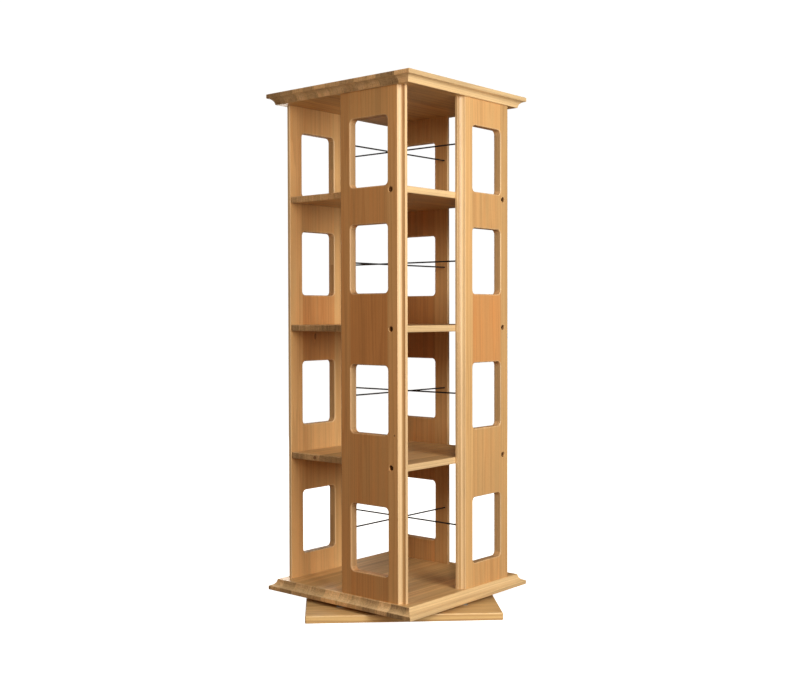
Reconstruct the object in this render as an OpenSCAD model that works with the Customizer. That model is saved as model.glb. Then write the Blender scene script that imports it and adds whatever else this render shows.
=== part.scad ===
// Rotating display rack: four open tiers of solid wood on a ball-bearing turntable base.
// Millimetres, +Z up. The origin is on the spin axis at floor level.
// The rack's front panel faces -Y, and the other three panels repeat it every quarter turn.

/* [Overall size] */
// Side of the square top and bottom boards
board_w = 440; // [420:5:480]
// Height of the whole rack, from the floor to the top face
rack_h = 1200; // [1195:5:1240]
// Side of the square base plate
base_w = 440; // [430:5:460]
// Turn of the rack against the base plate at rest, in degrees
base_turn = 44; // [0:1:90]

/* [Boards] */
// Thickness of the top and bottom boards
board_t = 25; // [24:1:28]
// Height of the square lip left above the boards' edge cove
lip_h = 10; // [8:0.5:12]

/* [Side panels] */
// Thickness of a side panel
panel_t = 20; // [18:1:22]
// Width of a side panel
panel_w = 192; // [186:1:196]
// Distance from the spin axis to a side panel's outer face
panel_out = 200; // [198:1:204]
// How far a side panel runs past the centre line, away from its own corner
panel_past = 10; // [8:1:12]
// Radius of the cove routed along both upright edges of a side panel
panel_cove = 12; // [8:1:13]

/* [Windows] */
// Width of a window in a side panel
window_w = 110; // [90:1:112]
// Height of a window
window_h = 152; // [130:1:154]
// Corner radius of a window
window_r = 10; // [4:1:20]
// Height of the lowest window's centre above the floor
window_low_z = 181; // [178:1:184]
// Rise from one window to the next, for the lower three
window_rise = 311; // [309:1:312]
// Height of the uppermost window's centre above the floor
window_top_z = 1038; // [1038:1:1042]

/* [Shelves] */
// Thickness of a shelf
shelf_t = 15; // [14:1:16]
// Rise from one shelf's top to the next
shelf_rise = 303; // [301:1:303]

/* [Divider rods] */
// Diameter of a divider rod
rod_d = 3.5; // [2:0.5:5]
// Height gap between the two rods where they cross
rod_gap = 0.4; // [0.2:0.1:1]
// Depth of a rod's end in a side panel
rod_in = 8; // [5:1:10]

/* [Turntable] */
// Thickness of the wooden base plate
base_t = 17; // [17:1:20]
// Height of the bearing between the base plate and the bottom board
bearing_h = 8; // [8:0.5:12]
// Side of the bearing's square steel plates
bearing_w = 300; // [280:5:310]
// Thickness of the bearing's steel plates
bearing_plate_t = 1.5; // [1:0.25:1.75]
// Radius of the circle that the balls run on
ball_track_r = 118; // [100:1:125]
// Diameter of a bearing ball
ball_d = 4; // [3:0.5:4]
// Number of bearing balls
ball_count = 36; // [12:4:48]

/* [Fastenings] */
// Diameter of a furniture bolt's shank
bolt_d = 6; // [5:0.5:6]
// Diameter of a furniture bolt's head
bolt_head_d = 10; // [9:0.5:10.5]
// Diameter of the recess that hides a bolt head
recess_d = 12.5; // [11.5:0.5:14]
// Diameter of a barrel nut
nut_d = 10; // [9:0.5:10]
// Diameter of a threaded insert
insert_d = 9; // [8:0.5:10]
// Diameter of a wooden dowel
dowel_d = 8; // [6:1:8]

/* [Hidden] */
$fn = 64;

// Levels, from the floor up
bottom_z = base_t + bearing_h;
floor_z = bottom_z + board_t;
top_z = rack_h - board_t;
upper_plate_z = bottom_z - bearing_plate_t;
ball_z = base_t + bearing_h / 2;

// Plan measures of the rack
panel_in = panel_out - panel_t;
panel_mid = panel_out - panel_t / 2;
panel_end = panel_w - panel_past;
window_x = panel_end - panel_w / 2;
cove_r = board_t - lip_h;

// Clearance around a part that is fitted in wood, and around one that runs free
fit = 0.05;
free = 0.3;

// Furniture bolts and barrel nuts
recess_depth = 8;
bolt_head_h = 5;
hex_af = 4;
hex_depth = 3;
nut_len = 11;
nut_slot = 1.2;

// Shelf bolts run in from the outer face, beside the windows
shelf_bolt_x = 150;
shelf_bolt_len = 50;
shelf_nut_in = 32;
shelf_dowel_x = 40;

// Bolts through the top and bottom boards into threaded inserts in the panels' ends
end_bolt_xs = [32, 140];
end_bolt_len = 30;
insert_len = 15;
end_bore_len = 20;
plug_t = 2.5;

// Dowels in the panels' ends
end_dowel_xs = [62, 110];
dowel_short = 12;
dowel_long = 18;

// Countersunk screws at the bearing plates' corners
screw_d = 4;
screw_head_d = 8;
screw_head_h = 2;
screw_len = 15;
screw_at = bearing_w / 2 - 15;

// Hole in the base plate that a screwdriver reaches the upper plate's screws through
access_d = 20;

// Bearing races and the ball cage between them
ring_wall = 4;
ring_gap = 0.6;
cage_t = 0.8;
cage_wall = 7;
bearing_hole_r = ball_track_r - 18;

// Heights of the windows and of the three shelves
window_zs = [
    window_low_z,
    window_low_z + window_rise,
    window_low_z + 2 * window_rise,
    window_top_z
];
function shelf_top(n) = floor_z + n * shelf_rise;
function tier_low(n) = shelf_top(n);
function tier_high(n) = n < 3 ? shelf_top(n + 1) - shelf_t : top_z;
function rod_mid(n) = (tier_low(n) + tier_high(n)) / 2;

wood_light = "BurlyWood";
wood_mid = "Peru";
wood_shelf = "Tan";
steel = "Silver";
black_steel = "DimGray";

// The four quarter turns that carry the front panel's features to every side
module each_side() {
    for (turn = [0:90:270])
        rotate([0, 0, turn])
            children();
}

// A cylinder along +Y that starts at the front panel's outer face plus a depth
module front_hole(x, z, d, depth, length) {
    translate([x, -panel_out + depth, z])
        rotate([-90, 0, 0])
            cylinder(h = length, d = d);
}

module rounded_rect(w, h, r) {
    union() {
        square([w - 2 * r, h], center = true);
        square([w, h - 2 * r], center = true);
        for (x = [-1, 1], y = [-1, 1])
            translate([x * (w / 2 - r), y * (h / 2 - r)])
                circle(r = r);
    }
}

// A board with its outer face at z = 0, a square lip there and a cove that narrows it towards
// z = board_t, where the panels meet it. Bolt recesses open on the outer face.
module coved_board() {
    half = board_w / 2;
    difference() {
        translate([-half, -half, 0])
            cube([board_w, board_w, board_t]);
        each_side() {
            translate([half, -half - 1, board_t])
                rotate([-90, 0, 0])
                    cylinder(h = board_w + 2, r = cove_r);
            for (x = end_bolt_xs)
                translate([x, -panel_mid, 0]) {
                    cylinder(h = 2 * recess_depth, d = recess_d, center = true);
                    cylinder(h = board_t + 1, d = bolt_d + 2 * fit);
                }
            for (x = end_dowel_xs)
                translate([x, -panel_mid, board_t])
                    cylinder(h = 2 * dowel_short, d = dowel_d + 2 * fit, center = true);
        }
    }
}

// Steel ring with a ball groove, standing on z = 0 with the balls' centre at z = rise
module race_ring(rise) {
    rotate_extrude()
        difference() {
            translate([ball_track_r - ring_wall, 0])
                square([2 * ring_wall, rise - ring_gap]);
            translate([ball_track_r, rise])
                circle(d = ball_d + 2 * fit);
        }
}

// Countersink with its mouth at z = 0, pointing down
module countersink(extra) {
    translate([0, 0, -screw_head_h])
        cylinder(h = screw_head_h, d1 = screw_d + extra, d2 = screw_head_d + extra);
    translate([0, 0, -screw_len])
        cylinder(h = screw_len, d = screw_d + extra);
}

// Countersunk wood screw with a cross slot, head at z = 0, pointing down
module wood_screw() {
    slot_w = 0.8;
    slot_depth = 1;
    slot_len = screw_head_d / 2;
    difference() {
        countersink(0);
        for (turn = [0, 90])
            rotate([0, 0, turn])
                translate([-slot_len / 2, -slot_w / 2, -slot_depth])
                    cube([slot_len, slot_w, slot_depth + 1]);
    }
}

// One screw, or the hole for it, at each corner of a bearing plate
module at_bearing_corners() {
    each_side()
        translate([screw_at, screw_at, 0])
            children();
}

// Bearing plate on z = 0: flat square steel with a race ring on top and countersunk corners
module bearing_plate() {
    difference() {
        union() {
            translate([-bearing_w / 2, -bearing_w / 2, 0])
                cube([bearing_w, bearing_w, bearing_plate_t]);
            race_ring(bearing_h / 2);
        }
        translate([0, 0, -1])
            cylinder(h = bearing_plate_t + 2, r = bearing_hole_r);
        translate([0, 0, bearing_plate_t])
            at_bearing_corners()
                countersink(2 * fit);
    }
}

// Furniture bolt along +Z with its socket face at z = 0
module furniture_bolt(length) {
    difference() {
        union() {
            cylinder(h = bolt_head_h, d = bolt_head_d);
            cylinder(h = bolt_head_h + length, d = bolt_d);
        }
        translate([0, 0, -1])
            cylinder(h = hex_depth + 1, d = hex_af / cos(30), $fn = 6);
    }
}

// Barrel nut centred on the origin along Z, cross bore along Y, screwdriver slot underneath
module barrel_nut() {
    difference() {
        cylinder(h = nut_len, d = nut_d, center = true);
        rotate([90, 0, 0])
            cylinder(h = 2 * nut_d, d = bolt_d + 2 * fit, center = true);
        translate([-nut_d, -nut_slot / 2, -nut_len / 2 - 1])
            cube([2 * nut_d, nut_slot, 2]);
    }
}

// Plain dowel centred on the origin along Z
module dowel() {
    cylinder(h = dowel_short + dowel_long - 1, d = dowel_d, center = true);
}

// Plan of a side panel: a strip with a cove along both outer edges
module panel_plan() {
    difference() {
        translate([-panel_past, -panel_out])
            square([panel_w, panel_t]);
        for (x = [-panel_past, panel_end])
            translate([x, -panel_out])
                circle(r = panel_cove);
    }
}

module panel_windows() {
    for (z = window_zs)
        translate([window_x, -panel_in + 1, z])
            rotate([90, 0, 0])
                linear_extrude(height = panel_t + 2)
                    rounded_rect(window_w, window_h, window_r);
}

// Bolt hole with its recess, and dowel hole, level with a shelf's middle
module panel_shelf_holes(z) {
    front_hole(shelf_bolt_x, z, recess_d, -1, recess_depth + 1);
    front_hole(shelf_bolt_x, z, bolt_d + 2 * fit, 0, panel_t + 1);
    front_hole(shelf_dowel_x, z, dowel_d + 2 * fit, panel_t - dowel_short, dowel_short + 1);
}

// Holes for the inserts, bolt tips and dowels in a panel's two ends
module panel_end_holes() {
    for (z = [floor_z, top_z]) {
        for (x = end_bolt_xs)
            translate([x, -panel_mid, z]) {
                cylinder(h = 2 * (insert_len + fit), d = insert_d + 2 * fit, center = true);
                cylinder(h = 2 * end_bore_len, d = bolt_d + 2 * fit, center = true);
            }
        for (x = end_dowel_xs)
            translate([x, -panel_mid, z])
                cylinder(h = 2 * dowel_long, d = dowel_d + 2 * fit, center = true);
    }
}

// Height of a rod's axis: the side rods pass just over the cross rods
function rod_z(n, is_cross) = rod_mid(n) + (is_cross ? -1 : 1) * (rod_d + rod_gap) / 2;

// The front and back panels hold the cross rods, the right and left panels the side rods
module side_panel(turn) {
    is_cross = turn % 180 == 0;
    color(wood_mid)
        rotate([0, 0, turn])
            difference() {
                translate([0, 0, floor_z])
                    linear_extrude(height = top_z - floor_z)
                        panel_plan();
                panel_windows();
                for (n = [1:3])
                    panel_shelf_holes(shelf_top(n) - shelf_t / 2);
                panel_end_holes();
                for (n = [0:3])
                    front_hole(0, rod_z(n, is_cross), rod_d + 2 * fit, panel_t - rod_in, rod_in + 1);
            }
}

module shelf(n) {
    z = shelf_top(n) - shelf_t;
    mid = z + shelf_t / 2;
    color(wood_shelf)
        difference() {
            translate([-panel_in, -panel_in, z])
                cube([2 * panel_in, 2 * panel_in, shelf_t]);
            each_side() {
                translate([shelf_bolt_x, -panel_in + shelf_nut_in, z - 1])
                    cylinder(h = shelf_t / 2 + nut_len / 2 + fit + 1, d = nut_d + 2 * fit);
                front_hole(shelf_bolt_x, mid, bolt_d + 2 * fit, panel_t - 1, shelf_nut_in + 10);
                front_hole(shelf_dowel_x, mid, dowel_d + 2 * fit, panel_t - 1, dowel_long + 1);
            }
        }
}

module rod(n, is_cross) {
    color("Black")
        translate([0, 0, rod_z(n, is_cross)])
            rotate([is_cross ? 90 : 0, is_cross ? 0 : 90, 0])
                cylinder(h = 2 * (panel_in + rod_in) - 1, d = rod_d, center = true);
}

module base_plate() {
    color(wood_light)
        rotate([0, 0, base_turn])
            difference() {
                translate([-base_w / 2, -base_w / 2, 0])
                    cube([base_w, base_w, base_t]);
                translate([0, 0, base_t + bearing_plate_t])
                    at_bearing_corners()
                        countersink(2 * fit);
                translate([screw_at * sqrt(2), 0, -1])
                    cylinder(h = base_t + 2, d = access_d);
            }
}

module bearing_lower_plate() {
    color(steel)
        translate([0, 0, base_t])
            rotate([0, 0, base_turn])
                bearing_plate();
}

module bearing_upper_plate() {
    color(steel)
        translate([0, 0, bottom_z])
            mirror([0, 0, 1])
                bearing_plate();
}

module bearing_cage() {
    color("Goldenrod")
        translate([0, 0, ball_z])
            difference() {
                rotate_extrude()
                    translate([ball_track_r - cage_wall, -cage_t / 2])
                        square([2 * cage_wall, cage_t]);
                for (turn = [0:360 / ball_count:359])
                    rotate([0, 0, turn])
                        translate([ball_track_r, 0, 0])
                            cylinder(h = ball_d, d = ball_d + free, center = true);
            }
}

module bearing_balls() {
    color(steel)
        for (turn = [0:360 / ball_count:359])
            rotate([0, 0, turn])
                translate([ball_track_r, 0, ball_z])
                    sphere(d = ball_d, $fn = 32);
}

// Screws that hold the lower bearing plate down on the base plate
module base_screws() {
    color(steel)
        rotate([0, 0, base_turn])
            translate([0, 0, base_t + bearing_plate_t])
                at_bearing_corners()
                    wood_screw();
}

// Screws that hold the upper bearing plate up against the bottom board
module turntable_screws() {
    color(steel)
        translate([0, 0, upper_plate_z])
            at_bearing_corners()
                mirror([0, 0, 1])
                    wood_screw();
}

module bottom_board() {
    color(wood_light)
        difference() {
            translate([0, 0, bottom_z])
                coved_board();
            translate([0, 0, upper_plate_z])
                at_bearing_corners()
                    mirror([0, 0, 1])
                        countersink(2 * fit);
        }
}

module top_board() {
    color(wood_light)
        translate([0, 0, rack_h])
            mirror([0, 0, 1])
                coved_board();
}

// Everything that repeats at every shelf and side, at the height of the shelf's middle
module at_each_shelf() {
    for (n = [1:3])
        translate([0, 0, shelf_top(n) - shelf_t / 2])
            each_side()
                children();
}

module shelf_bolts() {
    color(black_steel)
        at_each_shelf()
            translate([shelf_bolt_x, -panel_out + recess_depth - bolt_head_h, 0])
                rotate([-90, 0, 0])
                    furniture_bolt(shelf_bolt_len);
}

module shelf_nuts() {
    color(steel)
        at_each_shelf()
            translate([shelf_bolt_x, -panel_in + shelf_nut_in, 0])
                barrel_nut();
}

module shelf_dowels() {
    color(wood_light)
        at_each_shelf()
            translate([shelf_dowel_x, -panel_in + (dowel_long - dowel_short) / 2, 0])
                rotate([90, 0, 0])
                    dowel();
}

// Everything that repeats at the two fixing points of each panel's end
module at_each_fixing(xs, z) {
    each_side()
        for (x = xs)
            translate([x, -panel_mid, z])
                children();
}

module bottom_bolts() {
    color(black_steel)
        at_each_fixing(end_bolt_xs, bottom_z + recess_depth - bolt_head_h)
            furniture_bolt(end_bolt_len);
}

module top_bolts() {
    color(black_steel)
        at_each_fixing(end_bolt_xs, rack_h - recess_depth + bolt_head_h)
            mirror([0, 0, 1])
                furniture_bolt(end_bolt_len);
}

// Threaded inserts of one end of the panels, whose lower ends are at z
module end_inserts(z) {
    color(steel)
        at_each_fixing(end_bolt_xs, z)
            difference() {
                cylinder(h = insert_len, d = insert_d);
                translate([0, 0, -1])
                    cylinder(h = insert_len + 2, d = bolt_d + 2 * fit);
            }
}

module bottom_dowels() {
    color(wood_light)
        at_each_fixing(end_dowel_xs, floor_z + (dowel_long - dowel_short) / 2)
            dowel();
}

module top_dowels() {
    color(wood_light)
        at_each_fixing(end_dowel_xs, top_z - (dowel_long - dowel_short) / 2)
            dowel();
}

// Wooden caps that close the top board's bolt recesses, flush with its face
module top_plugs() {
    color(wood_light)
        at_each_fixing(end_bolt_xs, rack_h - plug_t)
            cylinder(h = plug_t, d = recess_d - 2 * fit);
}

base_plate();
bearing_lower_plate();
bearing_upper_plate();
bearing_cage();
bearing_balls();
base_screws();
turntable_screws();
bottom_board();
top_board();
side_panel(0);  // panel_front
side_panel(90);  // panel_right
side_panel(180);  // panel_back
side_panel(270);  // panel_left
shelf(1);  // shelf_lower
shelf(2);  // shelf_middle
shelf(3);  // shelf_upper
rod(0, false);  // rod_side_1
rod(1, false);  // rod_side_2
rod(2, false);  // rod_side_3
rod(3, false);  // rod_side_4
rod(0, true);  // rod_cross_1
rod(1, true);  // rod_cross_2
rod(2, true);  // rod_cross_3
rod(3, true);  // rod_cross_4
shelf_bolts();
shelf_nuts();
shelf_dowels();
bottom_bolts();
end_inserts(floor_z);  // bottom_inserts
bottom_dowels();
top_bolts();
end_inserts(top_z - insert_len);  // top_inserts
top_dowels();
top_plugs();
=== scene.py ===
"""Looks of the rotating display rack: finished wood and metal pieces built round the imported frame.

All measures are metres in the frame of the CAD part: +Z up, the origin on the spin axis at floor
level.
"""
import math

import bmesh
import bpy
from mathutils import Matrix, Vector, geometry


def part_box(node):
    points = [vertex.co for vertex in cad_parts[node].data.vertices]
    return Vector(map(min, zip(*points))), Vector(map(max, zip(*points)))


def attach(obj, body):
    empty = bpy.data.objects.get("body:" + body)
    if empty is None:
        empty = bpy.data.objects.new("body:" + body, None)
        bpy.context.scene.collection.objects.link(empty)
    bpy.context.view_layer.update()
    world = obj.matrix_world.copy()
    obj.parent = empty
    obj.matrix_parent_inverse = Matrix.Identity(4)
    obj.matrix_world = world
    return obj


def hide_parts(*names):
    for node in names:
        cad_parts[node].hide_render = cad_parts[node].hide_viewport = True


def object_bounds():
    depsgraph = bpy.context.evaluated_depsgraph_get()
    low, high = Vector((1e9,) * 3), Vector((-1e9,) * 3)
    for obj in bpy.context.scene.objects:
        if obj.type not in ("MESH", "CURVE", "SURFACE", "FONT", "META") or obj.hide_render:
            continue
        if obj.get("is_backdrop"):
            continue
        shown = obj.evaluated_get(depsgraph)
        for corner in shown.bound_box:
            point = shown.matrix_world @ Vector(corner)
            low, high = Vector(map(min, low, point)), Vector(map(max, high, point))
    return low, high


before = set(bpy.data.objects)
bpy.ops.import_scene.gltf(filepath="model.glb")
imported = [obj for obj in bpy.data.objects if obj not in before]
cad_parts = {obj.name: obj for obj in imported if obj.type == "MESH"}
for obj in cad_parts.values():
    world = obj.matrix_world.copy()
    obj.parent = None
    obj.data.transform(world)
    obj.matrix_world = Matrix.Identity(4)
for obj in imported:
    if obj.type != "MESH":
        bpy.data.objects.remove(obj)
cad_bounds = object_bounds()

# ---------------------------------------------------------------- sizes that the boxes don't give

# Base plate, turned against the rack, and its access hole near the middle of one side
BASE_TURN = math.radians(44)
BASE_HALF = 0.220
ACCESS_R = 0.010
ACCESS_OUT = 0.135 * math.sqrt(2)

# Hollow quarter rounds on the boards' and panels' edges
COVE_BOARD = 0.015
COVE_PANEL = 0.012

# Windows: half width and half height, corner radius, and the heights of their middles
WINDOW_HALF = (0.055, 0.076)
WINDOW_CORNER = 0.010
WINDOW_LOW = 0.181
WINDOW_RISE = 0.311
WINDOW_TOP = 1.038

# Furniture bolts, their recesses and hexagon sockets, and where they go in across a panel
BOLT_ACROSS = 0.150
BOLT_HEAD_R = 0.005
BOLT_HEAD_H = 0.005
BOLT_R = 0.003
SHELF_BOLT_LEN = 0.055
END_BOLT_LEN = 0.035
END_BOLTS = (0.032, 0.140)
RECESS_R = 0.00625
RECESS_DEPTH = 0.008
HEX_FLAT = 0.002
HEX_DEPTH = 0.003
HEX_CHAMFER = 0.0002

# Holes for the barrel nuts, from the shelf's edge inwards and from its underside upwards
NUT_R = 0.005
SHELF_NUT_IN = 0.032
SHELF_NUT_DEPTH = 0.01305

# How deep rods are let in, and dowels, whose middles lie off the joint towards the deeper hole
ROD_IN = 0.008
DOWEL_R = 0.004
DOWEL_LEN = 0.029
DOWEL_SHIFT = 0.003
SHELF_DOWEL = 0.040
END_DOWELS = (0.062, 0.110)

# How much wider a hole is than the piece that fills it, to each side
FIT = 0.00005

# Rounding of the edges as they are sanded
BOARD_ARRIS = 0.0014
BOARD_CORNER = 0.0008
PANEL_ARRIS = 0.0010
WINDOW_ARRIS = 0.0026
SHELF_ARRIS = 0.0022
BASE_ARRIS = 0.0032
HOLE_ARRIS = 0.0005
PLUG_ARRIS = 0.0004
ROD_CHAMFER = 0.0003
DOWEL_CHAMFER = 0.0008

# Faces that meet at more than this are shaded with a sharp edge
SHARP_ANGLE = math.radians(42)

# Steps between the places of two pieces in the grain, along it and across it
PIECE_ALONG = 1.7
PIECE_ACROSS = 0.371

# ---------------------------------------------------------------- outlines and profiles


def circle(radius, steps=24):
    """Outline of a circle, as a function of how far it is let out."""

    def outline(offset):
        reach = radius + offset
        turns = [2 * math.pi * k / steps for k in range(steps)]
        return [(reach * math.cos(turn), reach * math.sin(turn)) for turn in turns]

    return outline


def rounded_box(half_u, half_v, corner, steps=4, grow_corner=True):
    """Outline of a rectangle with round corners, which may grow as the outline is let out."""

    def outline(offset):
        radius = corner + offset if grow_corner else corner
        points = []
        for quarter, (side_u, side_v) in enumerate([(1, 1), (-1, 1), (-1, -1), (1, -1)]):
            centre_u = side_u * (half_u + offset - radius)
            centre_v = side_v * (half_v + offset - radius)
            for step in range(steps + 1):
                turn = (quarter + step / steps) * math.pi / 2
                u = centre_u + radius * math.cos(turn)
                v = centre_v + radius * math.sin(turn)
                points.append((u, v))
        return points

    return outline


def hexagon(flat):
    """Outline of a hexagon that is 2 * flat wide across its flats."""
    return circle(flat / math.cos(math.pi / 6), steps=6)


def moved(outline, du, dv):
    """The outline with its middle at (du, dv)."""
    return lambda offset: [(u + du, v + dv) for u, v in outline(offset)]


def fluted(radius, flutes=16, depth=0.00035):
    """Outline of a dowel with flutes pressed into it."""

    def outline(offset):
        points = []
        for k in range(2 * flutes):
            turn = math.pi * k / flutes
            reach = radius + offset - (depth if k % 2 else 0)
            points.append((reach * math.cos(turn), reach * math.sin(turn)))
        return points

    return outline


def arris(radius, offset, level, direction, steps=3):
    """Quarter round from a wall at `offset` onto a face at `level`, which looks in `direction`.

    Every step of a profile is how far the outline is let out, the level, and how much wear and
    painted highlight it carries.
    """
    profile = []
    for step in range(steps + 1):
        turn = step / steps * math.pi / 2
        inward = radius * (1 - math.cos(turn))
        rise = radius * (1 - math.sin(turn))
        wear_and_highlight = math.sin(2 * turn)
        profile.append((offset - inward, level - direction * rise, wear_and_highlight))
    return profile


def slab_profile(low, high, radius, low_radius=None):
    """Wall from one face to the other with a quarter round at both edges."""
    start = arris(low_radius or radius, 0, low, -1)
    return start[::-1] + arris(radius, 0, high, 1)


def hole_profile(start, stop, radius=HOLE_ARRIS, both=True):
    """Wall of a hole that opens out in a quarter round at its first end, or at both."""
    side = 1 if stop > start else -1
    opening = [(-offset, level, wear_and_highlight) for offset, level, wear_and_highlight in arris(radius, 0, start, -side)]
    closing = [(-offset, level, wear_and_highlight) for offset, level, wear_and_highlight in arris(radius, 0, stop, side)]
    return opening[::-1] + (closing if both else [(0, stop, 0)])


def cove(radius, offset, level, direction, keep, steps=7):
    """Hollow quarter round centred on (offset, level) that stops `keep` short at both ends."""
    first = math.asin(keep / radius)
    profile = []
    for step in range(steps + 1):
        turn = first + (math.pi / 2 - 2 * first) * step / steps
        inward = radius * math.cos(turn)
        rise = radius * math.sin(turn)
        profile.append((offset - inward, level + direction * rise, 0))
    return profile


def chamfered_profile(half, chamfer):
    """Wall of a round bar from end to end, with its ends broken by a small chamfer."""
    low_end = [(-chamfer, -half, 1), (0, chamfer - half, 0)]
    return low_end + [(0, half - chamfer, 0), (-chamfer, half, 1)]


# ---------------------------------------------------------------- meshes


class Shell:
    """The skins of one piece. Each point knows its place in the grain and how much wear and painted
    highlight it carries.

    The seed sets where in the grain the piece was cut, and the tone how much redder its colour is
    made.
    """

    def __init__(self, seed=0, tone=0.0, grain=lambda u, v, level: (v, u, level)):
        self.points, self.flat, self.grain, self.wear_and_highlight = [], [], [], []
        self.faces, self.pale_and_shade = [], []
        self.tone = tone
        self.grain_of = grain
        self.shift = Vector((PIECE_ALONG * seed, PIECE_ACROSS * seed, 0.0))

    def ring(self, place, outline, offset, level, wear_and_highlight):
        first = len(self.points)
        for u, v in outline(offset):
            self.points.append(place(u, v, level))
            self.flat.append(Vector((u, v, 0)))
            self.grain.append(Vector(self.grain_of(u, v, level)) + self.shift)
            self.wear_and_highlight.append(wear_and_highlight)
        return range(first, len(self.points))

    def wall(self, place, outline, profile, pale_and_shade=()):
        """Joins the outline's rings at every step of the profile. Returns the first and last."""
        rings = [self.ring(place, outline, *step) for step in profile]
        for step, (low, high) in enumerate(zip(rings, rings[1:])):
            for here in range(len(low)):
                there = (here + 1) % len(low)
                self.faces.append((low[here], low[there], high[there], high[here]))
                self.pale_and_shade.append(pale_and_shade[step] if pale_and_shade else 0.0)
        return rings[0], rings[-1]

    def cap(self, outer, holes=()):
        """Fills a ring, leaving the holes' rings open."""
        loops = [outer, *holes]
        order = [point for loop in loops for point in loop]
        flat = [[self.flat[k] for k in loop] for loop in loops]
        for triangle in geometry.tessellate_polygon(flat):
            self.faces.append(tuple(order[k] for k in triangle))
            self.pale_and_shade.append(0.0)

    def plate(self, place, outline, profile, through=(), low=(), high=(), pale_and_shade=()):
        """A closed plate with holes through it or into its low or high face.

        A hole is an outline, a profile that starts at the face it goes in from, and if need be
        the paleness of each step of it.
        """
        first, last = self.wall(place, outline, profile, pale_and_shade)
        low_rings, high_rings = [], []
        for hole in through:
            start, stop = self.wall(place, *hole)
            low_rings.append(start)
            high_rings.append(stop)
        for holes, rings in ((low, low_rings), (high, high_rings)):
            for hole in holes:
                start, stop = self.wall(place, *hole)
                rings.append(start)
                self.cap(stop)
        self.cap(first, low_rings)
        self.cap(last, high_rings)


def straight(u, v, level):
    """Places a plate flat, with its level upwards."""
    return Vector((u, v, level))


def along(origin, axis, side):
    """Places a plate's level along `axis` from `origin`, and its u along `side`."""
    third = axis.cross(side)
    return lambda u, v, level: origin + side * u + third * v + axis * level


def square_to(axis):
    """A direction square to an axis that is upright or level."""
    return Vector((0, 0, 1)) if abs(axis.z) < 0.5 else Vector((1, 0, 0))


def piece(name, shell, nodes, body, material):
    """Makes the shell into an object that stands for the CAD nodes and rides on their body."""
    mesh = bpy.data.meshes.new(name)
    mesh.from_pydata(shell.points, [], shell.faces)
    work = bmesh.new()
    work.from_mesh(mesh)
    bmesh.ops.recalc_face_normals(work, faces=work.faces)
    work.to_mesh(mesh)
    work.free()

    for layer, values in (("wear_and_highlight", shell.wear_and_highlight), ("tone", [shell.tone] * len(shell.points))):
        mesh.attributes.new(layer, "FLOAT", "POINT").data.foreach_set("value", values)
    grain = mesh.attributes.new("grain", "FLOAT_VECTOR", "POINT")
    grain.data.foreach_set("vector", [number for point in shell.grain for number in point])
    for layer, values in (("pale_and_shade", shell.pale_and_shade), ("end_grain", end_grain(mesh, shell))):
        mesh.attributes.new(layer, "FLOAT", "FACE").data.foreach_set("value", values)

    mesh.shade_smooth()
    mesh.set_sharp_from_angle(angle=SHARP_ANGLE)
    mesh.materials.append(material)
    made = bpy.data.objects.new(name, mesh)
    bpy.context.scene.collection.objects.link(made)
    weighted = made.modifiers.new("even_shading", "WEIGHTED_NORMAL")
    weighted.keep_sharp = True
    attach(made, body)
    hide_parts(*nodes)
    return made


def end_grain(mesh, shell):
    """How squarely each face cuts across the grain, from 0 along it to 1 across it."""
    shares = []
    for polygon in mesh.polygons:
        normal = geometry.normal([shell.grain[k] for k in polygon.vertices])
        shares.append(normal.x ** 2)
    return shares


# ---------------------------------------------------------------- materials


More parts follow.
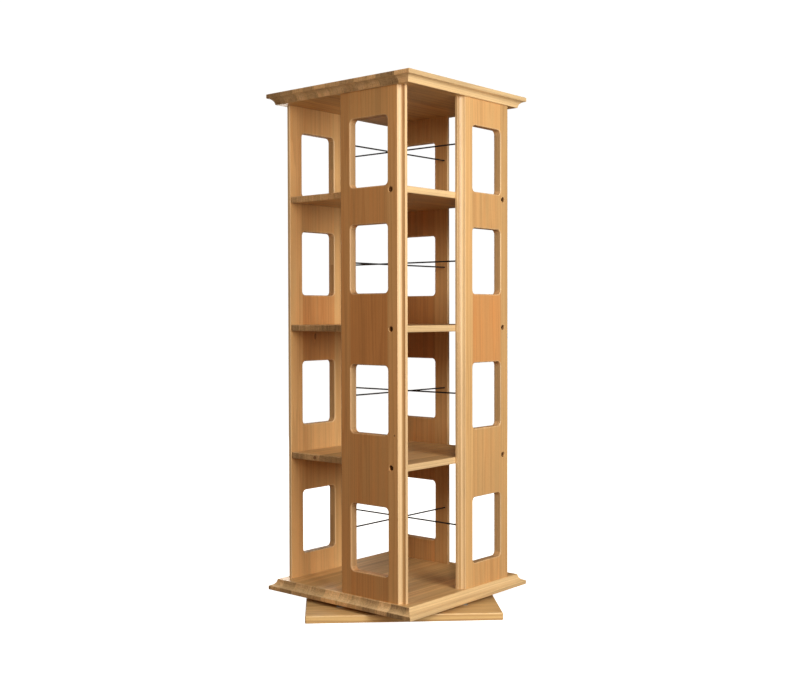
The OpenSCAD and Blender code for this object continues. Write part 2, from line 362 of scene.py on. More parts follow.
class Nodes:
    """Adds a material's shader nodes and wires them together."""

    def __init__(self, name):
        self.material = bpy.data.materials.new(name)
        self.material.use_nodes = True
        self.tree = self.material.node_tree
        self.shader = self.tree.nodes["Principled BSDF"]

    def put(self, socket, value):
        if isinstance(value, bpy.types.NodeSocket):
            self.tree.links.new(value, socket)
        else:
            socket.default_value = value

    def set(self, **values):
        """Sets or wires the shader's own sockets."""
        for name, value in values.items():
            self.put(self.shader.inputs[name.replace("_", " ")], value)

    def math(self, operation, *values):
        node = self.tree.nodes.new("ShaderNodeMath")
        node.operation = operation
        for socket, value in zip(node.inputs, values):
            self.put(socket, value)
        return node.outputs[0]

    def plus(self, first, *others):
        for other in others:
            first = self.math("ADD", first, other)
        return first

    def times(self, first, *others):
        for other in others:
            first = self.math("MULTIPLY", first, other)
        return first

    def swing(self, value, reach):
        """Turns 0 to 1 into -reach / 2 to reach / 2."""
        return self.math("MULTIPLY_ADD", value, reach, -reach / 2)

    def ease(self, value, low, high, start=0.0, stop=1.0):
        """Smooth step from `start` at `low` to `stop` at `high`."""
        node = self.tree.nodes.new("ShaderNodeMapRange")
        node.interpolation_type = "SMOOTHSTEP"
        for socket, number in zip(node.inputs, (value, low, high, start, stop)):
            self.put(socket, number)
        return node.outputs["Result"]

    def vector(self, x, y, z):
        node = self.tree.nodes.new("ShaderNodeCombineXYZ")
        for socket, value in zip(node.inputs, (x, y, z)):
            self.put(socket, value)
        return node.outputs[0]

    def split(self, vector):
        node = self.tree.nodes.new("ShaderNodeSeparateXYZ")
        self.put(node.inputs[0], vector)
        return node.outputs

    def attribute(self, name):
        node = self.tree.nodes.new("ShaderNodeAttribute")
        node.attribute_name = name
        return node

    def spot(self):
        """Where a point is on its object."""
        return self.tree.nodes.new("ShaderNodeTexCoord").outputs["Object"]

    def noise(self, place, scale=1.0, detail=2.0, roughness=0.5):
        node = self.tree.nodes.new("ShaderNodeTexNoise")
        self.put(node.inputs["Vector"], place)
        node.inputs["Scale"].default_value = scale
        node.inputs["Detail"].default_value = detail
        node.inputs["Roughness"].default_value = roughness
        return node.outputs["Fac"]

    def dice(self, value):
        """Three random numbers from 0 to 1 that depend on the value."""
        node = self.tree.nodes.new("ShaderNodeTexWhiteNoise")
        node.noise_dimensions = "1D"
        self.put(node.inputs["W"], value)
        return self.split(node.outputs["Color"])

    def ramp(self, factor, stops):
        """Grey levels at given positions, with straight steps between them."""
        node = self.tree.nodes.new("ShaderNodeValToRGB")
        self.put(node.inputs[0], factor)
        while len(node.color_ramp.elements) < len(stops):
            node.color_ramp.elements.new(0.5)
        for element, (position, level) in zip(node.color_ramp.elements, stops):
            element.position = position
            element.color = (level, level, level, 1.0)
        return node.outputs["Color"]

    def mix(self, factor, first, second, blend="MIX"):
        node = self.tree.nodes.new("ShaderNodeMix")
        node.data_type = "RGBA"
        node.blend_type = blend
        self.put(node.inputs["Factor"], factor)
        for name, colour in (("A", first), ("B", second)):
            socket = next(s for s in node.inputs if s.name == name and s.type == "RGBA")
            self.put(socket, (*colour, 1.0) if isinstance(colour, tuple) else colour)
        return next(s for s in node.outputs if s.type == "RGBA")

    def scale(self, colour, factor):
        node = self.tree.nodes.new("ShaderNodeVectorMath")
        node.operation = "SCALE"
        self.put(node.inputs[0], colour)
        self.put(node.inputs["Scale"], factor)
        return node.outputs[0]

    def distance(self, place, centre, stretch):
        """Distance from a centre, in a space that is squeezed by `stretch`."""
        node = self.tree.nodes.new("ShaderNodeVectorMath")
        node.operation = "MULTIPLY_ADD"
        self.put(node.inputs[0], place)
        node.inputs[1].default_value = stretch
        node.inputs[2].default_value = [-c * s for c, s in zip(centre, stretch)]
        length = self.tree.nodes.new("ShaderNodeVectorMath")
        length.operation = "LENGTH"
        self.put(length.inputs[0], node.outputs[0])
        return length.outputs["Value"]

    def bump(self, height, strength, distance):
        node = self.tree.nodes.new("ShaderNodeBump")
        self.put(node.inputs["Height"], height)
        node.inputs["Strength"].default_value = strength
        node.inputs["Distance"].default_value = distance
        self.put(self.shader.inputs["Normal"], node.outputs[0])


KNOT_RIM = (0.16, 0.058, 0.018)
KNOT_HEART = (0.34, 0.16, 0.062)
PALE_EDGE_AND_HIGHLIGHT = (0.85, 0.66, 0.40)
RED_WOOD = (0.86, 0.64, 0.50)
CUT_WOOD = (0.80, 0.72, 0.66)

# Redness of the panels' stiles, how far a glue line shows to each side of a joint, and where the
# grain kept for a panel begins, counted back from the panel's middle
STILE_RED = -0.12
GLUE_LINE = 0.0007
LANE_REACH = 0.1

# Metals: blotches and pits to the metre
BLOTCHES = 35.0
PITS = 900.0


def panel_boards(n, along_grain, across, rails):
    """The boards of a panel: two stiles, and rails between them.

    Returns how far across its board a point is, the board's number, how near a glue line is,
    and how red the board is. The numbers only have to differ from board to board.
    """
    up = n.math("FLOORED_MODULO", along_grain, PIECE_ALONG)
    side = n.math("FLOORED_MODULO", n.plus(across, LANE_REACH - panel_centre), PIECE_ACROSS)
    in_lane = n.math("SUBTRACT", side, LANE_REACH)
    off_middle = n.math("ABSOLUTE", in_lane)
    in_middle = n.math("LESS_THAN", off_middle, WINDOW_HALF[0])
    rail, redness = 0.0, STILE_RED
    for number, (low_end, high_end, red) in enumerate(rails):
        over = n.math("GREATER_THAN", up, low_end)
        under = n.math("LESS_THAN", up, high_end)
        here = n.times(in_middle, over, under)
        rail = n.plus(rail, n.times(here, 1.3 + number))
        redness = n.plus(redness, n.times(here, red - STILE_RED))
    panel_number = n.math("FLOOR", n.times(along_grain, 1 / PIECE_ALONG))
    right_stile = n.math("GREATER_THAN", in_lane, WINDOW_HALF[0])
    index = n.plus(n.times(panel_number, 17.3), rail, n.times(right_stile, 0.61))
    off_joint = n.math("ABSOLUTE", n.math("SUBTRACT", off_middle, WINDOW_HALF[0]))
    return in_lane, index, n.ease(off_joint, 0.0, GLUE_LINE, 1.0, 0.0), redness


def glued_staves(n, across, stave):
    """Staves of uneven width side by side. Returns what panel_boards returns."""
    uneven = n.noise(n.vector(n.times(across, 0.45 / stave), 0.5, 0.5), detail=0.0)
    lane = n.plus(n.times(across, 1 / stave), n.times(uneven, 1.1))
    index = n.math("FLOOR", lane)
    in_lane = n.times(n.math("SUBTRACT", lane, n.plus(index, 0.5)), stave)
    joint = n.ease(n.math("ABSOLUTE", in_lane), 0.485 * stave, 0.5 * stave)
    return in_lane, index, joint, 0.0


def knot_marks(n, grain, knots):
    """How far knots push the growth rings aside, and how much of their rim and heart is here."""
    push, rim, heart = 0.0, 0.0, 0.0
    for centre, reach in knots:
        away = n.distance(grain, centre, [1 / size for size in reach])
        away = n.plus(away, n.swing(n.noise(grain, 420.0, 2.0), 0.7))
        push = n.plus(push, n.ease(away, 0.0, 4.0, 1.6 * reach[1], 0.0))
        rim = n.math("MAXIMUM", rim, n.ease(away, 0.8, 1.3, 1.0, 0.0))
        heart = n.math("MAXIMUM", heart, n.ease(away, 0.35, 0.75, 1.0, 0.0))
    return push, rim, heart


def wood(name, early, late, stave, ring, figure, spread, streaks, rails=(), knots=()):
    """Lacquered solid wood of edge-glued staves, with its growth in the colours `early` and `late`.

    `stave` and `ring` are the widths of a stave and a year. `figure`, `spread` and `streaks` are
    how strongly years, staves and streaks differ. `rails` are (low end, high end, redness) of the
    boards that fill the middle of a panel between its stiles. `knots` are (place, size).
    """
    n = Nodes(name)
    grain = n.attribute("grain").outputs["Vector"]
    along_grain, across, deep = n.split(grain)

    if rails:
        in_lane, index, joint, redness = panel_boards(n, along_grain, across, rails)
    else:
        in_lane, index, joint, redness = glued_staves(n, across, stave)
    first, second, third = n.dice(index)
    tree = n.times(index, 3.7)

    def drawn_out(long_waves, cross_waves, detail=2.0, own=False):
        """Noise drawn out along the grain, in waves to the metre. It may be each stave's own."""
        depth = n.times(deep, cross_waves)
        if own:
            depth = n.plus(depth, tree)
        place = n.vector(n.times(along_grain, long_waves), n.times(across, cross_waves), depth)
        return n.noise(place, detail=detail)

    # Growth rings: cylinders round a pith that lies outside the stave, wandering along its length
    knot_push, knot_rim, knot_heart = knot_marks(n, grain, knots)
    drift = drawn_out(1.6, 7.0, own=True)
    uneven_years = drawn_out(0.5, 55.0, detail=1.0, own=True)
    ragged = drawn_out(14.0, 260.0)
    aside = n.plus(in_lane, n.swing(first, 2.6 * stave))
    below = n.plus(deep, n.math("MULTIPLY_ADD", second, 0.055, 0.016))
    radius = n.math("SQRT", n.plus(n.times(aside, aside), n.times(below, below)))
    radius = n.plus(radius, n.swing(drift, 0.026), n.swing(ragged, 0.0011))
    radius = n.plus(radius, n.swing(uneven_years, 0.028), knot_push)
    year = n.math("FRACT", n.times(radius, 1 / ring))
    growth = n.ramp(year, [(0.0, 0.0), (0.45, 0.18), (0.84, 0.85), (0.93, 1.0), (1.0, 0.0)])

    # Slow streaks of tone, fine fibres, and the short dark flecks between them
    streak = drawn_out(1.1, 64.0, detail=3.0, own=True)
    cloud = drawn_out(7.0, 22.0, own=True)
    fibre = drawn_out(34.0, 1100.0)
    fleck = n.ease(drawn_out(190.0, 2100.0, detail=0.0), 0.66, 0.74)

    cut = n.attribute("end_grain").outputs["Fac"]
    colour = n.mix(n.times(growth, figure), early, late)
    red = n.plus(n.attribute("tone").outputs["Fac"], redness, n.swing(second, 0.34))
    red = n.plus(red, n.swing(streak, 0.7), n.swing(cloud, 0.6))
    red = n.math("MINIMUM", n.math("MAXIMUM", red, 0.0), 1.0)
    colour = n.mix(red, colour, RED_WOOD, "MULTIPLY")
    light = n.plus(1.0, n.swing(third, spread), n.swing(streak, streaks))
    light = n.plus(light, n.swing(fibre, 0.16), n.swing(cloud, 0.22))
    light = n.math("SUBTRACT", light, n.plus(n.times(fleck, 0.13), n.times(joint, 0.12)))

    # Cut ends show each stave as a lighter or darker block with upright lines
    block = n.dice(n.plus(index, 0.5))[0]
    upright = n.noise(n.vector(0.5, n.times(across, 520.0), n.times(deep, 26.0)))
    light = n.plus(light, n.times(cut, n.plus(n.swing(block, 0.75), n.swing(upright, 0.9))))
    colour = n.scale(colour, light)
    colour = n.mix(cut, colour, CUT_WOOD, "MULTIPLY")

    # Edges are coloured paler, the depth of a cove is darkened as painted shade, and arrises are
    # rubbed bare of colour, which also paints a highlight on them
    patchy = n.ease(n.noise(grain, 60.0, 3.0), 0.35, 0.65, 0.12, 0.5)
    # The paling of arrises is partly wear and partly a painted highlight.
    rubbed_and_highlight = n.times(n.attribute("wear_and_highlight").outputs["Fac"], patchy)
    pale_and_shade = n.attribute("pale_and_shade").outputs["Fac"]
    # Negative values darken the deep half of a cove by up to a third: painted shade.
    colour = n.scale(colour, n.plus(1.0, n.times(n.math("MINIMUM", pale_and_shade, 0.0), 0.4)))
    # Edges are coloured paler, more in some streaks than in others.
    edge_paling = n.times(n.math("MAXIMUM", pale_and_shade, 0.0), n.ease(streak, 0.3, 0.7, 0.40, 0.64))
    paler = n.mix(cut, PALE_EDGE_AND_HIGHLIGHT, CUT_WOOD, "MULTIPLY")
    paler = n.scale(paler, n.math("SUBTRACT", light, n.times(growth, 0.14)))
    colour = n.mix(n.math("MAXIMUM", edge_paling, rubbed_and_highlight), colour, paler)
    if knots:
        colour = n.mix(n.times(knot_rim, 0.85), colour, KNOT_RIM)
        colour = n.mix(n.times(knot_heart, 0.8), colour, KNOT_HEART)

    # Lacquer, which the cut ends and the rubbed arrises drink up
    dull = n.plus(0.36, n.times(fibre, 0.16), n.times(cut, 0.16), n.times(rubbed_and_highlight, 0.3))
    relief = n.plus(fibre, n.times(growth, 0.5), n.times(fleck, -0.8), n.times(joint, -1.2))
    n.set(Base_Color=colour, Roughness=dull, IOR=1.5, Coat_Weight=0.18, Coat_Roughness=0.22)
    n.bump(relief, 0.22, 0.0002)
    return n.material


def metal(name, dark, light, roughness, metallic=1.0):
    """Metal or paint over metal: clouded tone, fine pits and uneven gloss."""
    n = Nodes(name)
    place = n.spot()
    cloud = n.noise(place, BLOTCHES, 4.0, 0.6)
    pits = n.noise(place, PITS)
    colour = n.mix(n.ease(cloud, 0.3, 0.7), dark, light)
    colour = n.scale(colour, n.plus(0.92, n.times(pits, 0.16)))
    dull = n.plus(roughness, n.swing(cloud, 0.14), n.swing(pits, 0.08))
    n.set(Base_Color=colour, Roughness=dull, Metallic=metallic)
    n.bump(pits, 0.15, 0.0001)
    return n.material


def studio_white(name, colour, glow, bounce):
    """Matt paper of the studio floor, lit from within so that it stays light.

    To the rack it is only a dim warm bounce.
    """
    n = Nodes(name)
    mottle = n.noise(n.spot(), 3.0, 3.0)
    n.set(Base_Color=n.scale(n.mix(mottle, colour, (1.0, 1.0, 1.0)), 0.9), Roughness=0.9)
    n.set(Emission_Color=(1.0, 1.0, 1.0, 1.0), Emission_Strength=glow)
    dim = n.tree.nodes.new("ShaderNodeEmission")
    dim.inputs["Color"].default_value = (*bounce, 1.0)
    ray = n.tree.nodes.new("ShaderNodeLightPath")
    choice = n.tree.nodes.new("ShaderNodeMixShader")
    n.put(choice.inputs[0], ray.outputs["Is Camera Ray"])
    n.put(choice.inputs[1], dim.outputs[0])
    n.put(choice.inputs[2], n.shader.outputs[0])
    n.put(n.tree.nodes["Material Output"].inputs[0], choice.outputs[0])
    return n.material


# ---------------------------------------------------------------- levels and plan, from the frame

panel_low, panel_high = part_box("panel_front")
board_low, board_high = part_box("bottom_board")
lid_low, lid_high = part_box("top_board")
base_low, base_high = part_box("base_plate")
panel_out = -panel_low.y
panel_t = panel_high.y - panel_low.y
panel_mid = panel_out - panel_t / 2
panel_in = panel_out - panel_t
panel_centre = (panel_low.x + panel_high.x) / 2
panel_half = (panel_high.x - panel_low.x) / 2
shelf_names = ("shelf_lower", "shelf_middle", "shelf_upper")
shelf_mids = [sum(corner.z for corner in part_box(name)) / 2 for name in shelf_names]
side_rods = [f"rod_side_{tier}" for tier in (1, 2, 3, 4)]
cross_rods = [f"rod_cross_{tier}" for tier in (1, 2, 3, 4)]
window_mids = [WINDOW_LOW + tier * WINDOW_RISE for tier in range(3)] + [WINDOW_TOP]
quarter_turns = [Matrix.Rotation(quarter * math.pi / 2, 3, "Z") for quarter in range(4)]

# ---------------------------------------------------------------- pieces


def blind(radius, u, v, start, depth):
    """A blind round hole at (u, v) from level `start` on, with a negative depth for downwards."""
    return moved(circle(radius + FIT), u, v), hole_profile(start, start + depth, both=False)


def bolt_hole(u, v, recess_face, far_face):
    """A recess for a bolt head with the bolt's own hole running on to the far face."""
    side = 1 if far_face > recess_face else -1
    floor = recess_face + side * RECESS_DEPTH
    step = BOLT_R + FIT - RECESS_R
    profile = hole_profile(recess_face, floor, both=False) + [(step, floor, 0), (step, far_face, 0)]
    return moved(circle(RECESS_R), u, v), profile


def make_panel(name, turn, rods, seed, tone, material):
    """A side panel. Its outline lies in (across, up), its level is the depth from outside."""
    half_height = (panel_high.z - panel_low.z) / 2
    middle = (panel_high.z + panel_low.z) / 2

    def outline(offset):
        half = panel_half + offset
        corners = ((1, 1), (-1, 1), (-1, -1), (1, -1))
        return [(side * half + panel_centre, middle + end * half_height) for side, end in corners]

    def place(u, v, level):
        return turn @ Vector((u, level - panel_out, v))

    face_edge = arris(PANEL_ARRIS, -COVE_PANEL, 0, -1)[::-1]
    hollow = cove(COVE_PANEL, 0, 0, 1, PANEL_ARRIS)
    end_edge = arris(PANEL_ARRIS, 0, COVE_PANEL, -1)[::-1]
    back_edge = arris(WINDOW_ARRIS / 2, 0, panel_t, 1)
    profile = face_edge + hollow + end_edge + back_edge
    half_hollow = len(hollow) // 2
    # Edges are coloured paler; the deep half of the cove gets a negative value, which darkens it as
    # painted shade.
    pale_and_shade = [1.0] * (len(face_edge) + half_hollow) + [-0.8] * half_hollow
    pale_and_shade += [1.0] * (len(end_edge) + len(back_edge))

    window_wall = hole_profile(0, panel_t, WINDOW_ARRIS)
    window = rounded_box(*WINDOW_HALF, WINDOW_CORNER, steps=6)
    jamb = [0.6] * len(window_wall)
    through = [(moved(window, panel_centre, z), window_wall, jamb) for z in window_mids]
    through += [bolt_hole(BOLT_ACROSS, z, 0, panel_t) for z in shelf_mids]
    high = []
    for rod in rods:
        low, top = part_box(rod)
        high.append(blind((top.z - low.z) / 2, 0, (top.z + low.z) / 2, panel_t, -ROD_IN))

    shell = Shell(seed, tone)
    shell.plate(place, outline, profile, through=through, high=high, pale_and_shade=pale_and_shade)
    return piece(name + "_wood", shell, [name], "rack", material)


def board_profile(lip_face, cove_face):
    """Edge of a board: square lip with rounded arrises, then a cove that narrows it to its face."""
    side = 1 if cove_face > lip_face else -1
    start = arris(BOARD_ARRIS, 0, lip_face, -side)[::-1]
    lip = arris(BOARD_ARRIS, 0, cove_face - side * COVE_BOARD, side)
    hollow = cove(COVE_BOARD, 0, cove_face, -side, BOARD_ARRIS)[::-1]
    return start + lip + hollow + arris(BOARD_ARRIS, -COVE_BOARD, cove_face, side)


def make_board(name, low, high, lip_face, cove_face, seed, material):
    half = (high.x - low.x) / 2
    spots = [turn @ Vector((x, -panel_mid, 0)) for turn in quarter_turns for x in END_BOLTS]
    through = [bolt_hole(spot.x, spot.y, lip_face, cove_face) for spot in spots]
    outline = rounded_box(half, half, BOARD_CORNER, steps=2, grow_corner=False)
    shell = Shell(seed)
    profile = board_profile(lip_face, cove_face)
    shell.plate(straight, outline, profile, through=through, pale_and_shade=[0.9] * len(profile))
    return piece(name + "_wood", shell, [name], "rack", material)


def make_shelf(name, seed, material):
    low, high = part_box(name)
    outline = rounded_box(high.x, high.y, SHELF_ARRIS, steps=3)
    low_holes = []
    for turn in quarter_turns:
        spot = turn @ Vector((BOLT_ACROSS, SHELF_NUT_IN - panel_in, 0))
        low_holes.append(blind(NUT_R, spot.x, spot.y, low.z, SHELF_NUT_DEPTH))
    shell = Shell(seed)
    profile = slab_profile(low.z, high.z, SHELF_ARRIS)
    shell.plate(straight, outline, profile, low=low_holes, pale_and_shade=[0.9] * len(profile))
    return piece(name + "_wood", shell, [name], "rack", material)


def make_base(material):
    turned = Matrix.Rotation(BASE_TURN, 3, "Z")

    def place(u, v, level):
        return turned @ Vector((u, v, level))

    outline = rounded_box(BASE_HALF, BASE_HALF, BASE_ARRIS)
    hole_outline = moved(circle(ACCESS_R, steps=40), ACCESS_OUT, 0)
    hole = hole_outline, hole_profile(base_low.z, base_high.z)
    shell = Shell(seed=9, grain=lambda u, v, level: (u, v, level))
    profile = slab_profile(base_low.z, base_high.z, BASE_ARRIS, low_radius=BASE_ARRIS / 2)
    shell.plate(place, outline, profile, through=[hole])
    return piece("base_plate_wood", shell, ["base_plate"], "base", material)


def make_rod(name, axis, material):
    """A divider rod."""
    low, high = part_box(name)
    middle = (low + high) / 2
    half = abs((high - low).dot(axis)) / 2
    radius = (high.z - low.z) / 2
    shell = Shell()
    profile = chamfered_profile(half, ROD_CHAMFER)
    shell.plate(along(middle, axis, square_to(axis)), circle(radius, steps=20), profile)
    return piece(name + "_steel", shell, [name], "rack", material)


def bolt_profile(length):
    """Profile of a furniture bolt from its socket face to its threaded tip, over its head."""
    chamfer, pitch, thread, tip = 0.0005, 0.001, 0.0004, 0.0008
    neck = BOLT_R - BOLT_HEAD_R
    profile = [(-chamfer, 0, 1), (-chamfer * 0.3, chamfer * 0.3, 1), (0, chamfer, 0)]
    profile += [(0, BOLT_HEAD_H - chamfer / 2, 0), (-chamfer / 2, BOLT_HEAD_H, 0)]
    profile.append((neck, BOLT_HEAD_H, 0))
    turns = 16
    start = length - tip - turns * pitch
    for turn in range(turns):
        profile.append((neck, start + turn * pitch, 0))
        profile.append((neck - thread, start + (turn + 0.5) * pitch, 0))
    return profile + [(neck, length - tip, 0), (neck - tip, length, 0)]


def make_bolts(name, places, length, material):
    """Furniture bolts: each place is the socket face's centre and the direction of the shank."""
    socket_wall = [(HEX_CHAMFER, 0, 1), (0, HEX_CHAMFER, 0), (0, HEX_DEPTH, 0)]
    socket = hexagon(HEX_FLAT), socket_wall
    profile = bolt_profile(length)
    shell = Shell()
    for origin, axis in places:
        place = along(origin, axis, square_to(axis))
        shell.plate(place, circle(BOLT_HEAD_R, steps=18), profile, low=[socket])
    return piece(name + "_steel", shell, [name], "rack", material)


def make_dowels(name, places, material):
    """Fluted dowels: each place is a dowel's middle and its axis."""
    profile = chamfered_profile(DOWEL_LEN / 2, DOWEL_CHAMFER)
    shell = Shell(seed=12, grain=lambda u, v, level: (level, u, v))
    for origin, axis in places:
        shell.plate(along(origin, axis, square_to(axis)), fluted(DOWEL_R), profile)
    return piece(name + "_wood", shell, [name], "rack", material)


def make_plugs(material):
    """Turned caps over the top board's bolts, flush with its face."""
    low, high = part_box("top_plugs")
    radius = high.x - panel_mid
    profile = slab_profile(low.z, high.z, PLUG_ARRIS)
    shell = Shell(seed=13, grain=lambda u, v, level: (u, v, level))
    for turn in quarter_turns:
        for x in END_BOLTS:
            spot = turn @ Vector((x, -panel_mid, 0))
            outline = moved(circle(radius, steps=32), spot.x, spot.y)
            shell.plate(straight, outline, profile)
    return piece("top_plugs_wood", shell, ["top_plugs"], "rack", material)


def round_the_sides(points, axis):
    """Repeats points and an axis of the front side on all four sides."""
    turned = []
    for turn in quarter_turns:
        turned += [(turn @ Vector(point), turn @ Vector(axis)) for point in points]
    return turned


def finish_cad(nodes, material):
    """Gives CAD pieces whose shape is already right their finish."""
    for name in nodes:
        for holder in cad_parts[name].material_slots:
            holder.material = material


def grain_spot(seed, along_grain, across, deep):
    """A place in the grain of the piece with that seed."""
    return PIECE_ALONG * seed + along_grain, PIECE_ACROSS * seed + across, deep


# ---------------------------------------------------------------- camera

# The eye stands `VIEW_AWAY` from the spin axis and `VIEW_SIDE` to the right of its line
VIEW_TURN = math.radians(40.55)
VIEW_PITCH = math.radians(-1.357)
VIEW_ROLL = math.radians(-0.134)
VIEW_AWAY = 2.6805
VIEW_SIDE = -0.0027
EYE_HEIGHT = 0.6833
LENS = 51.29
SHIFT = (-0.0048, -0.0088)


def make_camera():
    ahead = Vector((-math.sin(VIEW_TURN), math.cos(VIEW_TURN), 0))
    right = Vector((math.cos(VIEW_TURN), math.sin(VIEW_TURN), 0))
    eye = -ahead * VIEW_AWAY + right * VIEW_SIDE + Vector((0, 0, EYE_HEIGHT))
    camera = bpy.data.objects.new("camera", bpy.data.cameras.new("camera"))
    camera.data.lens = LENS
    camera.data.shift_x, camera.data.shift_y = SHIFT
    camera.data.clip_start, camera.data.clip_end = 0.05, 60
    camera.location = eye
    camera.rotation_euler = (math.pi / 2 + VIEW_PITCH, -VIEW_ROLL, VIEW_TURN)
    bpy.context.scene.collection.objects.link(camera)
    bpy.context.scene.camera = camera


make_camera()

# ---------------------------------------------------------------- making the rack

# Knots as the middle and the half sizes along, across and into the wood, and each rail's redness
panel_knots = [
    (grain_spot(4, 0.627, 0.099, 0.020), (0.0075, 0.0030, 0.006)),
    (grain_spot(1, 0.417, 0.160, 0.0), (0.0020, 0.0018, 0.006)),
]
shelf_knots = [(grain_spot(6, -0.180, -0.103, 0.3455), (0.010, 0.0042, 0.0038))]
rail_ends = [panel_low.z, *window_mids, panel_high.z]
panel_rails = list(zip(rail_ends, rail_ends[1:], (0.10, 0.02, 0.60, 0.12, -0.05)))

# Early and late colour, stave and ring width, figure, spread, streaks
board_wood = wood(
    "board_wood", (0.72, 0.45, 0.19), (0.44, 0.22, 0.080), 0.040, 0.0060, 0.6, 0.30, 0.40
)
panel_wood = wood(
    "panel_wood", (0.68, 0.41, 0.175), (0.48, 0.25, 0.098), 0.055, 0.0078, 0.46, 0.15, 0.42,
    panel_rails, panel_knots,
)
shelf_wood = wood(
    "shelf_wood", (0.70, 0.43, 0.185), (0.42, 0.22, 0.082), 0.044, 0.0058, 0.6, 0.30, 0.4,
    knots=shelf_knots,
)
base_wood = wood(
    "base_wood", (0.70, 0.46, 0.20), (0.44, 0.23, 0.088), 0.052, 0.0064, 0.7, 0.26, 0.4
)
dowel_wood = wood(
    "dowel_wood", (0.68, 0.48, 0.27), (0.52, 0.33, 0.17), 0.05, 0.003, 0.5, 0.1, 0.2
)

# Dark and light colour, roughness
black_rod = metal("black_rod", (0.004, 0.004, 0.004), (0.010, 0.010, 0.010), 0.55, metallic=0.0)
black_bolt = metal("black_bolt", (0.20, 0.115, 0.055), (0.34, 0.20, 0.10), 0.42)
zinc_steel = metal("zinc_steel", (0.42, 0.43, 0.44), (0.60, 0.61, 0.60), 0.38)
nut_steel = metal("nut_steel", (0.46, 0.46, 0.45), (0.62, 0.61, 0.58), 0.32)
insert_zinc = metal("insert_zinc", (0.50, 0.44, 0.27), (0.64, 0.58, 0.40), 0.34)
ball_steel = metal("ball_steel", (0.60, 0.61, 0.62), (0.72, 0.72, 0.72), 0.14)
cage_brass = metal("cage_brass", (0.56, 0.38, 0.13), (0.74, 0.54, 0.22), 0.34)

# The front and back panels get redder tones than the side panels.
# Name, the rods let into it, seed and tone
panel_rows = (
    ("panel_front", cross_rods, 1, 0.55),
    ("panel_right", side_rods, 2, 0.10),
    ("panel_back", cross_rods, 3, 0.45),
    ("panel_left", side_rods, 4, 0.25),
)
for turn, (name, rods, seed, tone) in zip(quarter_turns, panel_rows):
    make_panel(name, turn, rods, seed, tone, panel_wood)

make_board("bottom_board", board_low, board_high, board_low.z, board_high.z, 10, board_wood)
make_board("top_board", lid_low, lid_high, lid_high.z, lid_low.z, 11, board_wood)
make_plugs(board_wood)
for seed, name in enumerate(shelf_names, 6):
    make_shelf(name, seed, shelf_wood)
make_base(base_wood)

for name in side_rods:
    make_rod(name, Vector((1, 0, 0)), black_rod)
for name in cross_rods:
    make_rod(name, Vector((0, 1, 0)), black_rod)

head_face = RECESS_DEPTH - BOLT_HEAD_H
into_shelf = [(BOLT_ACROSS, head_face - panel_out, z) for z in shelf_mids]
make_bolts("shelf_bolts", round_the_sides(into_shelf, (0, 1, 0)), SHELF_BOLT_LEN, black_bolt)
into_panel = [(x, -panel_mid, board_low.z + head_face) for x in END_BOLTS]
make_bolts("bottom_bolts", round_the_sides(into_panel, (0, 0, 1)), END_BOLT_LEN, black_bolt)
into_panel = [(x, -panel_mid, lid_high.z - head_face) for x in END_BOLTS]
make_bolts("top_bolts", round_the_sides(into_panel, (0, 0, -1)), END_BOLT_LEN, black_bolt)

shelf_dowels = [(SHELF_DOWEL, DOWEL_SHIFT - panel_in, z) for z in shelf_mids]
make_dowels("shelf_dowels", round_the_sides(shelf_dowels, (0, 1, 0)), dowel_wood)
dowel_rows = (
    ("bottom_dowels", panel_low.z + DOWEL_SHIFT),
    ("top_dowels", panel_high.z - DOWEL_SHIFT),
)
for name, z in dowel_rows:
    spots = [(x, -panel_mid, z) for x in END_DOWELS]
    make_dowels(name, round_the_sides(spots, (0, 0, 1)), dowel_wood)

finish_cad(("bearing_lower_plate", "bearing_upper_plate"), zinc_steel)
finish_cad(("base_screws", "turntable_screws"), zinc_steel)
finish_cad(("shelf_nuts",), nut_steel)
finish_cad(("bottom_inserts", "top_inserts"), insert_zinc)
finish_cad(("bearing_balls",), ball_steel)
finish_cad(("bearing_cage",), cage_brass)

# ---------------------------------------------------------------- floor and light

FLOOR_R = 14.0
AIM = Vector((0, 0, 0.62))


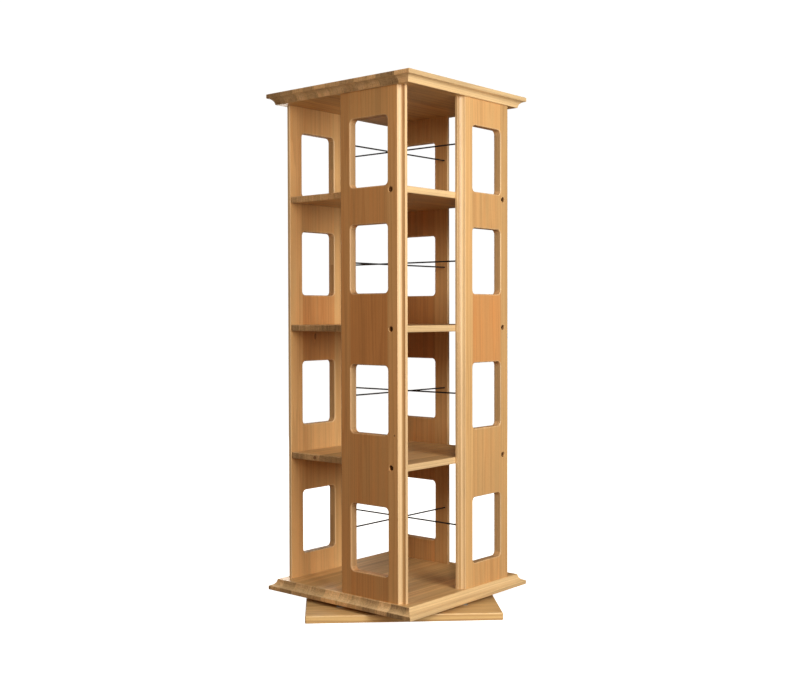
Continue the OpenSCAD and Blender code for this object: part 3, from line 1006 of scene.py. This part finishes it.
def make_floor():
    mesh = bpy.data.meshes.new("floor")
    rim = [(u, v, 0) for u, v in circle(FLOOR_R, steps=64)(0)]
    mesh.from_pydata(rim, [], [tuple(range(len(rim)))])
    colour, bounce = (0.93, 0.93, 0.93), (0.18, 0.127, 0.085)
    mesh.materials.append(studio_white("studio_floor", colour, 0.98, bounce))
    floor = bpy.data.objects.new("floor", mesh)
    bpy.context.scene.collection.objects.link(floor)
    floor.visible_glossy = False
    floor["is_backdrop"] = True


def softbox(name, turn, rise, away, width, height, power, colour):
    """Area light aimed at the rack, `turn` degrees from +X towards -Y and `rise` above level."""
    lamp = bpy.data.lights.new(name, "AREA")
    lamp.shape = "RECTANGLE"
    lamp.size, lamp.size_y = width, height
    lamp.energy = power
    lamp.color = colour
    turn, rise = math.radians(turn), math.radians(rise)
    level = math.cos(rise)
    way = Vector((math.cos(turn) * level, -math.sin(turn) * level, math.sin(rise)))
    holder = bpy.data.objects.new(name, lamp)
    holder.location = AIM + way * away
    holder.rotation_euler = way.to_track_quat("Z", "Y").to_euler()
    bpy.context.scene.collection.objects.link(holder)


def make_sky(for_light, for_eye):
    """Even studio surround: dim as a light, white as a background."""
    sky = bpy.data.worlds.new("studio")
    sky.use_nodes = True
    bpy.context.scene.world = sky
    tree = sky.node_tree
    ambient = tree.nodes["Background"]
    ambient.inputs["Strength"].default_value = 1.0
    ambient.inputs["Color"].default_value = (*for_light, 1.0)
    seen = tree.nodes.new("ShaderNodeBackground")
    seen.inputs["Strength"].default_value = 1.0
    seen.inputs["Color"].default_value = (*for_eye, 1.0)
    ray = tree.nodes.new("ShaderNodeLightPath")
    choice = tree.nodes.new("ShaderNodeMixShader")
    tree.links.new(ray.outputs["Is Camera Ray"], choice.inputs[0])
    tree.links.new(ambient.outputs[0], choice.inputs[1])
    tree.links.new(seen.outputs[0], choice.inputs[2])
    tree.links.new(choice.outputs[0], tree.nodes["World Output"].inputs[0])


make_floor()

# Turn and rise in degrees, distance, width, height, power and colour
softbox("key", 12, 14, 2.8, 1.3, 1.6, 78, (1.0, 0.99, 0.92))
softbox("fill", 62, 16, 3.4, 1.4, 1.6, 28, (1.0, 0.80, 0.60))
softbox("back", 206, 5, 3.4, 1.8, 1.5, 46, (1.0, 0.93, 0.82))
softbox("top", 40, 78, 2.4, 1.4, 1.4, 16, (1.0, 0.95, 0.86))

make_sky(for_light=(0.055, 0.038, 0.026), for_eye=(1.02, 1.02, 1.02))
bpy.context.scene.view_settings.view_transform = "Standard"

visual_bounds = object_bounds()
boxes = {"cad": cad_bounds, "visual": visual_bounds}
{name: [list(corner) for corner in box] for name, box in boxes.items()}
